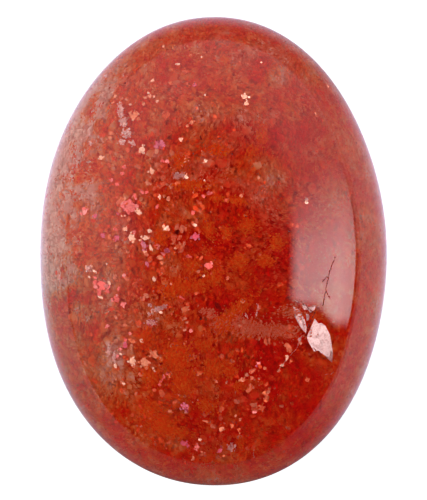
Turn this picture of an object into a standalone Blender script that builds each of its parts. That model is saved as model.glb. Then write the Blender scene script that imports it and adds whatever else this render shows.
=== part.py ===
"""A loose oval sunstone cabochon: one polished crystal with a domed top and a flat base.

Metres, +Z up. The origin is the middle of the flat base, +Y runs along the stone's length and
+X across its width. The dome is a stack of level rings, all of one outline, that grow from the
crown to the girdle as an ellipse does. Below the girdle a small bevel leads to the flat base.
"""
import math

import bmesh
import bpy

MM = 0.001

# Driving dimensions
LENGTH = 20.0 * MM
WIDTH = 14.82 * MM
DOME_HEIGHT = 4.7 * MM          # from the top of the girdle to the crown
GIRDLE_HEIGHT = 0.35 * MM       # the narrow band at the widest outline
GIRDLE_LEAN = 0.04 * MM         # how far the band leans in at its lower edge
BEVEL_HEIGHT = 0.35 * MM        # the small bevel that the cutter leaves around the base
BEVEL_WIDTH = 0.40 * MM

# Character of the hand-cut outline
FULLNESS = 2.08                 # exponent of the oval: 2 is an ellipse, more is squarer
EGG_SHARE = 0.028               # the -Y end is this share wider than an even oval, the +Y end narrower
SWELL_HEIGHT = 0.03 * MM        # low swells left by grinding by hand
SWELL_COUNT = 5                 # how many of them go round the outline
SWELL_TURN = math.radians(6.4)  # where the first one stands, from +X towards +Y

# Fineness of the facets: a ring has one more facet in each sector than the ring above it
DOME_RINGS = 24
SECTORS = 6
OUTLINE_SAMPLES = 720

# Colour and finish of the polished stone
STONE_COLOUR = (0.50, 0.085, 0.035, 1.0)
STONE_ROUGHNESS = 0.08
STONE_INDEX = 1.54
STONE_CLEARNESS = 0.35

SHARP_EDGE = math.radians(30.0)


def clear_scene():
    for old in list(bpy.data.objects):
        bpy.data.objects.remove(old, do_unlink=True)


def signed_power(value, power):
    return math.copysign(abs(value) ** power, value)


def oval_point(turn):
    """A point of the widest outline, at a turn from +X towards +Y, before it is centred."""
    across = signed_power(math.cos(turn), 2.0 / FULLNESS)
    along = signed_power(math.sin(turn), 2.0 / FULLNESS)
    x = 0.5 * WIDTH * across * (1.0 - EGG_SHARE * along)
    y = 0.5 * LENGTH * along
    swell = SWELL_HEIGHT * math.cos(SWELL_COUNT * (math.atan2(y, x) - SWELL_TURN))
    return x + swell * math.cos(turn), y + swell * math.sin(turn)


def oval_frame():
    """The oval's middle, and the scale that brings it to the stated length and width."""
    samples = [oval_point(2.0 * math.pi * i / OUTLINE_SAMPLES) for i in range(OUTLINE_SAMPLES)]
    low_x, high_x = min(p[0] for p in samples), max(p[0] for p in samples)
    low_y, high_y = min(p[1] for p in samples), max(p[1] for p in samples)
    middle = (0.5 * (low_x + high_x), 0.5 * (low_y + high_y))
    return middle, (WIDTH / (high_x - low_x), LENGTH / (high_y - low_y))


def ring(bm, frame, facets, height, share, drawn_in=0.0):
    """A level ring: the outline at a share of its size, drawn in towards the middle by a distance."""
    (middle_x, middle_y), (scale_x, scale_y) = frame
    row = []
    for i in range(facets):
        x, y = oval_point(2.0 * math.pi * i / facets)
        x, y = (x - middle_x) * scale_x, (y - middle_y) * scale_y
        inward = share * (1.0 - drawn_in / math.hypot(x, y))
        row.append(bm.verts.new((x * inward, y * inward, height)))
    return row


def close_dome_band(bm, inner, outer):
    """Triangles between two dome rings, where the outer has one more facet in each sector."""
    inner_facets = len(inner) // SECTORS
    outer_facets = len(outer) // SECTORS
    for sector in range(SECTORS):
        first_in, first_out = sector * inner_facets, sector * outer_facets
        for i in range(outer_facets):
            here = outer[first_out + i]
            following = outer[(first_out + i + 1) % len(outer)]
            above = inner[(first_in + i) % len(inner)]
            bm.faces.new((here, following, above))
            if i < inner_facets:
                bm.faces.new((above, following, inner[(first_in + i + 1) % len(inner)]))


def close_band(bm, upper, lower):
    """Four-sided faces between two rings that have the same number of facets."""
    for i, corner in enumerate(upper):
        following = (i + 1) % len(upper)
        bm.faces.new((lower[i], lower[following], upper[following], corner))


def build_stone():
    bm = bmesh.new()
    frame = oval_frame()
    girdle_top = BEVEL_HEIGHT + GIRDLE_HEIGHT

    crown = bm.verts.new((0.0, 0.0, girdle_top + DOME_HEIGHT))
    rings = []
    for level in range(1, DOME_RINGS + 1):
        fall = 0.5 * math.pi * level / DOME_RINGS
        height = girdle_top + DOME_HEIGHT * math.cos(fall)
        rings.append(ring(bm, frame, SECTORS * level, height, math.sin(fall)))
    for i in range(SECTORS):
        bm.faces.new((rings[0][i], rings[0][(i + 1) % SECTORS], crown))
    for inner, outer in zip(rings, rings[1:]):
        close_dome_band(bm, inner, outer)

    facets = SECTORS * DOME_RINGS
    girdle_foot = ring(bm, frame, facets, BEVEL_HEIGHT, 1.0, GIRDLE_LEAN)
    base_edge = ring(bm, frame, facets, 0.0, 1.0, GIRDLE_LEAN + BEVEL_WIDTH)
    close_band(bm, rings[-1], girdle_foot)
    close_band(bm, girdle_foot, base_edge)
    bm.faces.new(list(reversed(base_edge)))

    bmesh.ops.recalc_face_normals(bm, faces=bm.faces)
    mesh = bpy.data.meshes.new("sunstone")
    bm.to_mesh(mesh)
    bm.free()
    mesh.shade_smooth()
    mesh.set_sharp_from_angle(angle=SHARP_EDGE)
    stone = bpy.data.objects.new("sunstone", mesh)
    bpy.context.scene.collection.objects.link(stone)
    return stone


def stone_material():
    material = bpy.data.materials.new("sunstone")
    material.use_nodes = True
    shader = material.node_tree.nodes["Principled BSDF"]
    shader.inputs["Base Color"].default_value = STONE_COLOUR
    shader.inputs["Metallic"].default_value = 0.0
    shader.inputs["Roughness"].default_value = STONE_ROUGHNESS
    shader.inputs["IOR"].default_value = STONE_INDEX
    shader.inputs["Transmission Weight"].default_value = STONE_CLEARNESS
    return material


clear_scene()
sunstone = build_stone()
sunstone.data.materials.append(stone_material())
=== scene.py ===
"""Looks of a loose oval sunstone cabochon: a clear orange-red crystal full of copper-red flakes.

Metres, +Z up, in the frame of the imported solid. +X is right and +Y is up in the photograph, which
looks straight down on the stone. The body is one clear solid with the look of polished feldspar.
Everything that glitters or clouds it is real geometry inside it: slivers of haze, crumbs, grains,
flakes, feathers, threads and a healed crack.
"""
import math

import bpy
import numpy as np
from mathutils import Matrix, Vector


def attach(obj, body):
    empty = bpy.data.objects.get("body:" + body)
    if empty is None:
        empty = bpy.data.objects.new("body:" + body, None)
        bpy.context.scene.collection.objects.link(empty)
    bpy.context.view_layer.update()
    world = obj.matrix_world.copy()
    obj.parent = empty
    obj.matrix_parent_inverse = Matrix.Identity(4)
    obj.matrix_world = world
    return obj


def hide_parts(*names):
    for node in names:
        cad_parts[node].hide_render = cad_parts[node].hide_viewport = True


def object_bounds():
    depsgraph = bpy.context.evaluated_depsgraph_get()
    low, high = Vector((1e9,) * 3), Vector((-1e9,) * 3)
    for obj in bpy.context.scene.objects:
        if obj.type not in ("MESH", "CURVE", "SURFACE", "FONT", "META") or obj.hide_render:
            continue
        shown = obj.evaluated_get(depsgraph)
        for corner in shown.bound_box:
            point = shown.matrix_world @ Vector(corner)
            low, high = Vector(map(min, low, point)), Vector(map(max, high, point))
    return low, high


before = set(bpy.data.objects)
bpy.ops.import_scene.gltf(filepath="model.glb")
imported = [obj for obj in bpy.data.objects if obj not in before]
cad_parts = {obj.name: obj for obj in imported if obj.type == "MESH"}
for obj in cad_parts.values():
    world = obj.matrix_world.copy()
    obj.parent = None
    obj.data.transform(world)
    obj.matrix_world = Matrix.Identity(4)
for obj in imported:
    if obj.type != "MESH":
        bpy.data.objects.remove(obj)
cad_low, cad_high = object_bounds()

MM = 0.001
FULL_TURN = 2.0 * math.pi
WHITE = (1.0, 1.0, 1.0, 1.0)

# One generator for all random draws, which keep their order
SEED = 20150
rng = np.random.default_rng(SEED)

# Sizes of the stone, from the solid
HALF_WIDTH = cad_high[0]
HALF_LENGTH = cad_high[1]
HEIGHT = cad_high[2]

# The box that the outline is fitted to, a hair smaller than the solid's
HAIR = 1e-7
BOX_SIZE = [high - low - HAIR for low, high in zip(cad_low, cad_high)]
BOX_MIDDLE = [0.5 * (low + high) for low, high in zip(cad_low, cad_high)]

GIRDLE_TOP = 0.70 * MM
GIRDLE_FOOT = 0.35 * MM
GIRDLE_LEAN = 0.04 * MM
BEVEL_WIDTH = 0.40 * MM
DOME_HEIGHT = HEIGHT - GIRDLE_TOP

# The hand-cut outline, as the solid has it
FULLNESS = 2.08
EGG_SHARE = 0.028
SWELL_HEIGHT = 0.03 * MM
SWELL_COUNT = 5
SWELL_TURN = math.radians(6.4)
OUTLINE_SAMPLES = 1440

# Low waves that polishing by hand leaves in the dome: how deep they are, and each one's length along
# X and along Y, and where it starts
WAVE_DEPTH = 0.012 * MM
WAVES = (
    (3.1 * MM, -7.4 * MM, 0.4), (-5.2 * MM, 2.3 * MM, 1.7), (2.2 * MM, 3.4 * MM, 3.0),
    (6.3 * MM, 1.6 * MM, 4.4), (1.7 * MM, -4.1 * MM, 5.5),
)

# Fineness of the visible surface, and the step that its slope is taken over
BODY_RINGS = 96
SECTORS = 6
SLOPE_STEP = 0.01 * MM

# The photograph's frame, and how the stone sits in it
PHOTO_WIDTH, PHOTO_HEIGHT = 427, 500
STONE_LENGTH_PX = 468.5
STONE_MIDDLE_PX = (213.0, 250.65)
PX = 2.0 * HALF_LENGTH / STONE_LENGTH_PX
CAMERA_DISTANCE = 300.0 * MM
SENSOR = 36.0

# The search for the place on the dome that a pixel shows: where it starts, as a share of the camera's
# distance, how many steps it takes, and how much of the gap each step closes
SEARCH_START = 0.98
SEARCH_STEPS = 40
SEARCH_SHARE = 0.7

FELDSPAR_INDEX = 1.54

# Clear feldspar that is left between the flakes and the polish, and round the crack: its middle, its
# width for its length, and from where to where the haze thins out
SKIN = 0.02 * MM
CRACK_MIDDLE = (4.55 * MM, -3.85 * MM)
CRACK_SLENDERNESS = 0.8
CLEAR_REACH = (0.85 * MM, 1.15 * MM)

# Pixels from one sliver of a thread to the next, and how thick a placed flake is for its half width
THREAD_STEP_PX = 2.2
FLAKE_FLATNESS = 0.02

# Square pixels from which a flake is so large that the crystal over it is kept clear, and the depth
# that it is taken to lie at
LARGE_AREA_PX = 26.0
LARGE_DEPTH = 0.25 * MM

# A flake gets one small plate beside it for so many square pixels, up to a limit
CLUSTER_AREA_PX = 11.0
CLUSTER_LIMIT = 7

# How many times over the plates of a feather would cover it
FEATHER_LAYERS = 2.7

# The deep red heart of the stone: its middle, and how far it reaches along each axis
HEART = (1.6 * MM, -3.4 * MM, 2.2 * MM)
HEART_SHAPE = (5.0 * MM, 7.5 * MM, 6.0 * MM)

# Half the width and length that the pale band along the left flank is measured by, and its height
FLANK_SHAPE = (HALF_WIDTH, HALF_LENGTH, 40.0 * MM)

# Soft light from the left that the polish doesn't mirror, and how the light that the stone takes in
# falls off towards +X and +Y
SOFT_LIGHT = 0.23
TAKEN_IN = (-0.14, -0.60)
PANEL_LIGHT = 5.1
ROOM_LIGHT = 0.04

# Ways from the stone to the panel at the right and to the pale wall at the left, and how squarely the
# dome has to face the panel before a flake under it can flash it
PANEL_WAY = np.array([0.80, 0.05, 0.60])
WALL_WAY = np.array([-0.80, 0.0, 0.60])
PANEL_FACING = 0.42

# Half the side of the paper that the stone lies on, and its height
FLOOR_SIZE = 400.0 * MM
FLOOR_Z = -0.02 * MM

# Depth that the middle of a soft patch lies at, and how high the patch reaches
PATCH_DEPTH = 0.7 * MM
PATCH_HEIGHT = 2.5 * MM

# Colours of the stone from the deepest to the palest, in its pinkish and in its orange parts
PINKISH = (
    (0.935, 0.010, 0.0015), (0.968, 0.060, 0.018), (0.987, 0.190, 0.073), (0.996, 0.400, 0.245),
    (0.998, 0.740, 0.670),
)
ORANGE = (
    (0.962, 0.014, 0.0003), (0.986, 0.068, 0.003), (0.994, 0.205, 0.030), (0.997, 0.420, 0.170),
    (0.998, 0.720, 0.620),
)

# Flakes that show singly in the photograph, each as (x, y, width, height) in its pixels, and the
# turn of the flake in degrees from +X towards +Y
CREAM_PX = (
    (124.2, 123.9, 3.6, 3.8, 0), (141.8, 148.8, 7.5, 7.2, 20), (100.4, 157.2, 5.5, 5, -40),
    (151.4, 171.4, 5.8, 5.6, 40), (129.8, 103.9, 3.4, 2.4, 15), (180.5, 138.8, 4.2, 3.6, -20),
    (205, 160.2, 4.2, 4, 0), (185.8, 176, 3.4, 4.4, 30), (137.4, 211.4, 6.2, 6.4, 35),
    (159.1, 196.3, 4, 4.2, 0), (121.2, 215.3, 2, 2, 0), (124.4, 215.3, 2.2, 1.8, 0),
    (130.9, 237, 6.6, 8.6, 25), (148.8, 230.4, 5.2, 5.2, 0), (166, 227.9, 5.6, 6.4, 10),
    (144.6, 237.4, 8.2, 5, -8), (139.6, 239.8, 3, 2, 0), (150.2, 247.5, 3, 7.6, 24),
    (144.2, 251.4, 3, 3, 0), (124.6, 228.6, 6.4, 4.4, 0), (106.3, 263.3, 2.2, 2.2, 0),
    (86.4, 268, 2.2, 6.4, 28), (91.2, 265.8, 2.4, 2.2, 0), (94, 271, 5, 2.2, -32), (88.4, 276.3, 3, 2.4, 0),
    (108.8, 282.6, 2.4, 4.6, 20), (99.8, 296.5, 7.2, 2.6, -10), (153.7, 278.4, 3.4, 4.6, 20),
    (140.9, 340, 3.8, 3.8, 0), (131.4, 361.4, 6.8, 7.8, 15), (120.2, 353.7, 3, 2.6, 0),
    (114.9, 365.3, 3, 5, 10), (123, 383.2, 4.4, 2.8, -35), (153.2, 369.1, 5.6, 2.4, -48),
    (160.2, 311.9, 3.4, 2.4, 0), (199.6, 439.1, 3.4, 3, 0), (286.5, 356.8, 3, 6.2, -18),
    (281.6, 364.6, 3.6, 3.2, 0), (177.4, 63.6, 4.6, 2.8, 0), (151.8, 80, 4.6, 4, 20),
    (156.7, 100.9, 3.2, 3.2, 0), (260.6, 61.8, 2.2, 2, 0), (200.7, 56.4, 2.6, 2, 20),
    (244.6, 96, 5.6, 7, 80), (245.8, 103, 4.6, 5, 70), (204.4, 94.2, 2.2, 2.2, 0), (148, 92.4, 2.6, 2.2, 0),
    (153.4, 96.2, 2.4, 2.6, 0), (163, 46, 3, 2.6, 0), (306, 202, 3.4, 3, 0), (203, 275.3, 2.6, 2.4, 0),
    (194.9, 224.6, 4, 4.6, 30), (203.7, 180.5, 3, 2.2, 30),
)
ORANGE_PX = (
    (133.3, 115.4, 8.5, 8, 20), (137.6, 118, 4, 5, -30), (130, 112.4, 5, 3.4, 30), (110, 133, 6.5, 5, 30),
    (109.6, 137.6, 4, 3, 0), (184.6, 160.8, 6, 8, -15), (179.2, 158.2, 4, 3.2, 0),
    (202.3, 152.8, 4, 5.6, 10), (195.4, 186.8, 9.6, 3.2, 0), (207.9, 185.8, 5.6, 4, 0),
    (177.4, 183, 7, 4.6, 35), (170.4, 185, 3.6, 2.4, 0), (108.8, 237, 3.6, 4.6, 20),
    (120.5, 198.6, 6.4, 7.4, -30), (173, 239, 5.6, 8, 25), (177.8, 245.4, 9, 5.6, 20),
    (183.6, 243, 3, 6, -20), (181, 250.8, 6, 4, 20), (160, 257, 7, 4.2, -30), (161.4, 262.3, 3.4, 4, 20),
    (192.8, 265.8, 4.8, 5.2, 0), (198.4, 270.9, 7, 2.6, 10), (218.4, 197.7, 4.4, 3.4, 0),
    (240.5, 195.6, 3.2, 3.6, 0), (144, 362.8, 10, 9, 25), (153.2, 354.4, 8.6, 7.6, -20),
    (160, 358, 6, 5.4, -40), (132.1, 340.4, 6.6, 4.4, -10), (184.2, 342.6, 4.4, 3.2, 25),
    (170.3, 375, 6.8, 5.2, -45), (184.6, 308.6, 9, 6, 25), (183.3, 317.9, 7, 3.6, 10),
    (242.6, 300.9, 5.4, 4.4, 20), (199.4, 372.4, 4.4, 5.6, 25), (241.8, 378.8, 5.2, 5.4, 20),
    (246.4, 374.3, 3.2, 4.2, -30), (184.6, 395.6, 3.4, 4.4, 0), (169.1, 410.7, 6.2, 3.2, -10),
    (209.6, 403, 8, 2.8, -48), (231.9, 425.1, 4, 4.2, 0), (235.2, 415.2, 3.6, 2, 50),
    (193, 457.4, 3.2, 6.2, 0), (218.9, 457.7, 5.6, 2, 15), (264.6, 367.9, 3.2, 3.2, 0),
    (290.7, 360, 3, 3.4, 0), (278.1, 370.2, 3.2, 2.8, 0), (299.5, 341.4, 3, 5, 15),
    (223.7, 229.3, 2.8, 7.6, 15), (179.3, 394.9, 3.2, 3.4, 0), (220.9, 428.6, 5.6, 6, 60),
    (239.3, 430.2, 3.6, 6.2, 15), (201.5, 453.6, 7.2, 5, 40), (222.8, 455.6, 3.2, 2.4, 40),
    (263.6, 392.6, 4.2, 3, 40), (189.7, 54.4, 3, 2.4, 0), (171.3, 69, 4, 3.4, 0), (170, 82.6, 5, 4, 30),
    (143.2, 103.3, 4.4, 4, 0), (149.3, 96, 5.6, 4, -20), (144.8, 97.2, 3.4, 3, 0), (190.9, 121.7, 5, 4, 20),
    (186.6, 125.4, 3.4, 3, 0), (315.6, 113, 3.2, 2.6, 0), (327.8, 86, 3, 2.6, 0), (267.2, 397.4, 3, 5.2, 0),
    (265.4, 400.2, 4.4, 2.6, 0), (120.7, 97.9, 4, 2.6, 0), (114.4, 95.8, 4.2, 3.4, 0),
    (112.4, 102.2, 5, 2.2, 30), (206, 421, 8, 2.6, -15), (220.4, 418.4, 2.6, 2.6, 0),
)
PINK_PX = (
    (128.4, 205.6, 15, 11.5, -25), (134.4, 195.4, 4.2, 7, 10), (141.4, 191.8, 6.4, 3, -50),
    (146.6, 191.8, 5.4, 3.4, 0), (123.3, 166.8, 5.6, 3.6, -40), (121.9, 172.8, 3.6, 3, 0),
    (116.3, 183.7, 4.2, 3.6, 0), (111.4, 179.5, 4, 3.6, 0), (156.7, 206.1, 3.6, 3.8, 0),
    (166.5, 161, 3.6, 4, 30), (162, 160.2, 4, 3.2, 0), (209, 193, 6.4, 4.2, 0), (203, 195.6, 3.6, 3.6, 0),
    (192.6, 211.8, 4.2, 5, 20), (100.3, 285.4, 12.5, 13, 20), (106.8, 290.8, 4, 5.4, 20),
    (115.3, 298.2, 8.4, 7, -10), (122.6, 303.9, 6, 5.6, 10), (117.9, 288.2, 3.8, 4.6, 0),
    (133.3, 231.4, 4.6, 3.6, 0), (162.8, 253.5, 5, 3.2, -30), (123.5, 274.9, 4, 3.4, -30),
    (94.7, 277, 4, 3, -30), (125.1, 339.6, 4, 3.6, -30), (106.8, 325.3, 3.4, 5, -35),
    (116.7, 355.8, 4.6, 4.2, 20), (119.8, 348.8, 3.4, 3, 0), (163, 377, 3, 9, -35),
    (160.6, 380.4, 2.6, 6.4, -30), (166.4, 373.4, 3.6, 3.2, 0), (159.1, 383.5, 3.4, 3.4, 0),
    (190.4, 330.2, 3.2, 3.2, 0), (258, 363.2, 4.6, 4.4, 0), (208.2, 265.8, 7, 8, 0),
    (188.4, 256, 6, 2.6, 0), (180.4, 296.9, 8, 2, -25), (254, 411.8, 7, 3.2, -8), (155.8, 244.4, 4, 1.6, 0),
    (157.8, 247.2, 1.8, 5, 0), (196.4, 446.6, 5, 6.4, 10), (129.3, 333, 3.4, 3, 0), (84.2, 211, 8, 7, 30),
    (115, 228.6, 5, 3, -25),
)
VIOLET_PX = (
    (159.2, 143.8, 9, 9, 30), (94.7, 215.2, 4.6, 4.6, 20), (101.8, 234.9, 5.6, 5.6, 0),
    (116.5, 237.4, 6.4, 5.4, 0), (143.4, 244.8, 6.4, 9.4, 15), (166.3, 250.3, 5.8, 5.2, -30),
    (146, 263, 4.2, 6.4, 20), (183.2, 442.6, 6.4, 6, 0), (187.4, 445.4, 4, 3.6, 0),
    (219.6, 450, 4.4, 6.4, -10), (118, 213.2, 6.4, 3, -20), (150.4, 322.1, 11, 6, -12), (194, 85, 5, 4, 0),
    (124.4, 345.3, 6, 6.4, 20), (194.9, 235.6, 8, 7, 0), (184.6, 407.2, 8, 7.6, 0), (256.6, 365, 3, 3, 0),
)
TAN_PX = (
    (137.7, 166.1, 6, 4.6, -30), (221.1, 408, 5.6, 6, 0), (166, 113.6, 9, 6.6, 20),
    (190.6, 357.9, 9, 6, 15), (166.1, 208.2, 6, 2.6, -35), (162.8, 171.8, 6.4, 2.2, -20),
    (158.6, 168.6, 3.4, 2.4, 20), (128.4, 218.8, 4.8, 5.2, 0), (198.4, 209.4, 6, 6, 0),
    (193.4, 223.4, 8, 8, 20), (182.3, 227.9, 6.4, 9, -20), (162.4, 294.6, 3.4, 8, 40),
    (138.4, 322.8, 6.2, 7.4, 0), (123.7, 324.6, 6.4, 4.2, 10), (174.9, 341, 4.6, 5.2, 0),
    (172.8, 345.6, 7, 5, 0), (248.8, 388.2, 6.4, 8.4, -30), (254, 404.6, 6.4, 6.4, 0),
    (261.6, 407.6, 6, 6.6, 0), (265.8, 340.6, 6.6, 8, 0), (288, 347, 6.6, 8.6, 0),
    (161.4, 392, 6.4, 6.4, 0), (174.7, 401.6, 6.4, 5, 20), (182, 360, 6.4, 6, 0), (86.3, 152.6, 5, 8, 0),
    (168.4, 442.3, 6.6, 4, 20), (212.6, 470.3, 5, 2, -10), (265.8, 395.2, 5.6, 8.6, 10),
    (251.8, 377.5, 5.6, 3.8, -20), (307.2, 379.3, 6, 4.4, 30), (206.1, 221.6, 4.6, 5, 0),
)
DARK_PX = (
    (217.2, 305.4, 4.6, 9.4, 26), (124.6, 82.8, 3, 2.6, 0), (168.2, 165, 2.8, 3.4, 30),
    (156, 139.8, 2.4, 2, 0), (315.8, 349.4, 4.4, 1.8, 20), (160.4, 362.8, 4, 2.6, 10),
    (270.4, 108.2, 3.6, 1.6, 40), (200.7, 137.6, 1.8, 5, 30),
)

# Pale feathers, each as (x, y, width, height, turn, how thick it is)
FEATHER_PX = (
    (178.8, 175, 12, 6.4, 8, 1.2), (120.2, 110.5, 7, 17, 8, 1.3), (122.6, 121, 8, 9, 0, 1.3),
    (124.2, 123.9, 3.6, 3.6, 0, 2), (126, 133, 11, 9, 0, 0.9), (121, 141, 8, 6, 0, 0.8),
    (132, 143, 7, 7, 0, 0.6), (89, 132, 2.4, 11, 4, 1), (90.2, 142.8, 3.4, 3.2, 0, 1.6),
    (104.9, 75.4, 3.2, 3, 0, 1.6), (88, 268, 7, 6.5, 30, 0.9), (158.8, 308, 16, 5, 22, 1.3),
    (149.6, 304.6, 4.6, 3.2, 0, 1), (164.4, 305.6, 4.6, 3, 20, 1), (149, 313, 5, 3.4, 0, 1),
    (150.4, 322, 13, 5.6, -10, 0.8), (108, 350, 5, 12, -8, 1), (114, 357, 5, 12, -8, 0.9),
    (59, 277, 2.6, 13, 8, 0.9), (231, 447, 8, 9, 0, 0.9), (257.2, 306, 2, 8, 20, 0.8),
    (256, 313, 2, 6, -20, 0.8), (246.3, 316, 2, 7, 30, 0.8), (46, 248, 3.6, 24, 4, 0.8),
    (306, 200, 4, 5, 0, 1),
)

# Soft patches that are paler or deeper than their surroundings, each as (x, y, width, height, turn,
# how much paler)
PATCHES_PX = (
    (142, 322, 42, 34, 0, 0.22), (108, 366, 28, 62, -20, 0.22), (172, 407, 34, 36, 0, 0.18),
    (246, 329, 42, 24, -4, 0.3), (280, 331, 40, 20, -2, 0.2), (294, 308, 30, 20, 0, 0.26),
    (221, 325, 15, 15, 0, 0.16), (203, 114, 14, 9, -10, -0.16), (254, 78, 18, 7, -22, -0.18),
    (200, 100, 40, 20, 20, 0.1), (302, 396, 50, 44, -30, -0.1), (220, 250, 40, 50, 0, -0.07),
    (276, 283, 40, 26, 20, 0.15), (262, 135, 40, 50, 0, -0.12), (62, 312, 36, 64, 5, -0.2),
    (124, 240, 50, 30, 0, 0.08), (278, 76, 24, 24, 20, 0.34), (96, 118, 14, 60, 20, -0.12),
    (324, 352, 44, 34, -30, 0.08), (200, 46, 150, 20, 0, 0.14), (234, 388, 40, 60, 10, -0.1),
    (176, 279, 22, 26, 0, -0.1), (198, 240, 20, 26, 0, -0.1), (112, 284, 34, 40, 20, 0.08),
    (82, 284, 30, 44, 0, -0.14), (342, 236, 26, 60, 0, -0.12), (272, 196, 50, 60, 0, 0.2),
    (170, 442, 34, 24, -20, 0.1), (192, 326, 26, 20, 0, -0.08), (118, 136, 26, 22, 20, 0.1),
)

# Soft heaps of bright orange grains, each as (x, y, width, height, turn, how thick it is)
MOTTLES_PX = (
    (176, 357, 26, 26, 0, 1.3), (183, 382, 24, 26, 0, 1.1), (163, 424, 28, 20, -20, 1.2),
    (204, 345, 18, 11, 0, 0.9), (214, 368, 24, 18, 0, 0.8), (229, 370, 14, 13, 0, 0.8),
    (150, 376, 18, 15, 0, 0.8), (146, 335, 14, 16, 0, 0.7), (186, 286, 46, 14, 4, 0.8),
    (171, 291, 15, 12, 0, 0.9), (193, 266, 13, 11, 0, 1.2), (236, 309, 34, 12, 38, 1),
    (221, 325, 15, 14, 0, 1.3), (239, 262, 17, 18, 0, 0.9), (265, 260, 15, 12, 0, 1),
    (276, 242, 14, 16, 0, 0.6), (247, 225, 14, 14, 0, 1.1), (208, 228, 12, 18, 0, 0.8),
    (226, 232, 11, 13, 0, 0.8), (160, 238, 14, 12, 0, 0.9), (238, 200, 15, 8, 0, 0.9),
    (192, 185, 32, 9, 0, 0.9), (216, 198, 13, 8, 0, 0.8), (207, 405, 20, 15, 0, 0.8),
    (150, 408, 24, 15, 0, 0.8), (213, 276, 18, 15, 0, 0.8), (240, 386, 14, 10, 0, 0.7),
    (252, 150, 14, 12, 0, 0.6), (262, 134, 10, 22, 0, 0.6), (218, 150, 20, 12, 0, 0.6),
    (182, 432, 20, 10, 0, 0.8), (240, 440, 9, 12, 0, 0.7), (180, 160, 16, 16, 0, 0.6),
)

# Soft heaps of milky grains, each in the same way
MILKY_PX = (
    (250, 327, 46, 16, -8, 1), (278, 331, 44, 15, -4, 0.8), (291, 311, 26, 16, 0, 0.6),
    (208, 313, 20, 9, -30, 0.7), (236, 318, 26, 10, -20, 0.5), (219, 325, 14, 13, 0, 1.9),
)

# Fine lines, each as a chain of pixels
PALE_LINES_PX = (
    ((253.3, 449), (253, 453.4), (253.4, 458)),
    ((58, 268), (60.4, 275), (57.8, 284), (60.8, 291)),
    ((325, 374), (329, 374.2), (333, 372)),
    ((302, 334.5), (299, 340), (296, 348.5), (287, 357), (282, 364), (278, 370)),
    ((294, 299.5), (302, 303.6), (311, 305.4), (319, 306)),
)
DARK_LINES_PX = (
    ((315.6, 308.5), (312.4, 316), (308, 325), (305.4, 336)),
    ((313, 347.4), (316, 350), (319, 351)),
    ((335, 256), (331, 265), (328, 275), (325, 290), (322.5, 305)),
    ((328, 275), (322, 281)),
    ((325, 290), (329, 297)),
    ((300, 300.5), (306, 306), (313, 312)),
)

# The healed crack: bright sheets, each as the corners that it shows
CRACK_PX = (
    ((314, 318), (318, 323), (321, 322.5), (325, 325.5), (329.7, 335), (332.4, 352.5), (331.5, 362),
     (323, 354), (317.5, 350), (313.5, 351), (308, 341.5), (306.4, 336.5), (309, 330), (312, 323.5)),
    ((292.5, 306), (297, 307.5), (300.5, 312), (304, 318.5), (306.2, 327), (305.4, 333), (299.5, 326),
     (294.5, 317)),
    ((301, 305), (304, 303.6), (308.5, 306.4), (315, 305.6), (314, 309), (310, 312.5), (307.5, 309.4),
     (303.5, 309.6)),
    ((305.5, 313), (309, 314.5), (308.4, 319.5), (306, 320.5)),
    ((297.6, 338), (300.2, 336.4), (300.8, 340.6), (298.4, 342.6)),
)


# Shape of the dome


def unit(vectors):
    return vectors / np.linalg.norm(vectors, axis=-1, keepdims=True)


def signed_power(values, power):
    return np.sign(values) * np.abs(values) ** power


def raw_outline(turns):
    across = signed_power(np.cos(turns), 2.0 / FULLNESS)
    along = signed_power(np.sin(turns), 2.0 / FULLNESS)
    x = HALF_WIDTH * across * (1.0 - EGG_SHARE * along)
    y = HALF_LENGTH * along
    swell = SWELL_HEIGHT * np.cos(SWELL_COUNT * (np.arctan2(y, x) - SWELL_TURN))
    return x + swell * np.cos(turns), y + swell * np.sin(turns)


def outline(turns):
    """The widest outline at some turns, centred and scaled to the solid's box."""
    sample_x, sample_y = raw_outline(np.linspace(0.0, FULL_TURN, OUTLINE_SAMPLES))
    x, y = raw_outline(turns)
    middle_x = 0.5 * (sample_x.min() + sample_x.max())
    middle_y = 0.5 * (sample_y.min() + sample_y.max())
    x = (x - middle_x) * BOX_SIZE[0] / np.ptp(sample_x) + BOX_MIDDLE[0]
    y = (y - middle_y) * BOX_SIZE[1] / np.ptp(sample_y) + BOX_MIDDLE[1]
    return x, y


def make_reach():
    """A function that gives the outline's distance from the middle in any direction."""
    x, y = outline(np.linspace(0.0, FULL_TURN, OUTLINE_SAMPLES))
    angle = np.arctan2(y, x)
    order = np.argsort(angle)
    angle, distance = angle[order], np.hypot(x, y)[order]
    return lambda px, py: np.interp(np.arctan2(py, px), angle, distance, period=FULL_TURN)


reach = make_reach()


def share_out(x, y):
    """0 in the middle of the stone and 1 at its outline."""
    return np.hypot(x, y) / reach(x, y)


def hollows(x, y):
    """How deep the waves of the polish lie, which die out at the crown and at the outline."""
    strength = sum(np.sin(FULL_TURN * (x / wave_x + y / wave_y) + start) for wave_x, wave_y, start in WAVES)
    share = np.clip(share_out(x, y), 0.0, 1.0)
    return WAVE_DEPTH * 4.0 * share**2 * (1.0 - share**2) * (0.5 + 0.5 * strength / len(WAVES))


def dome_top(x, y):
    inside = np.clip(1.0 - share_out(x, y) ** 2, 0.0, 1.0)
    return GIRDLE_TOP + DOME_HEIGHT * np.sqrt(inside) - hollows(x, y)


def dome_normal(x, y):
    slope_x = (dome_top(x + SLOPE_STEP, y) - dome_top(x - SLOPE_STEP, y)) / (2.0 * SLOPE_STEP)
    slope_y = (dome_top(x, y + SLOPE_STEP) - dome_top(x, y - SLOPE_STEP)) / (2.0 * SLOPE_STEP)
    return unit(np.stack([-slope_x, -slope_y, np.ones_like(slope_x)], -1))


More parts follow.
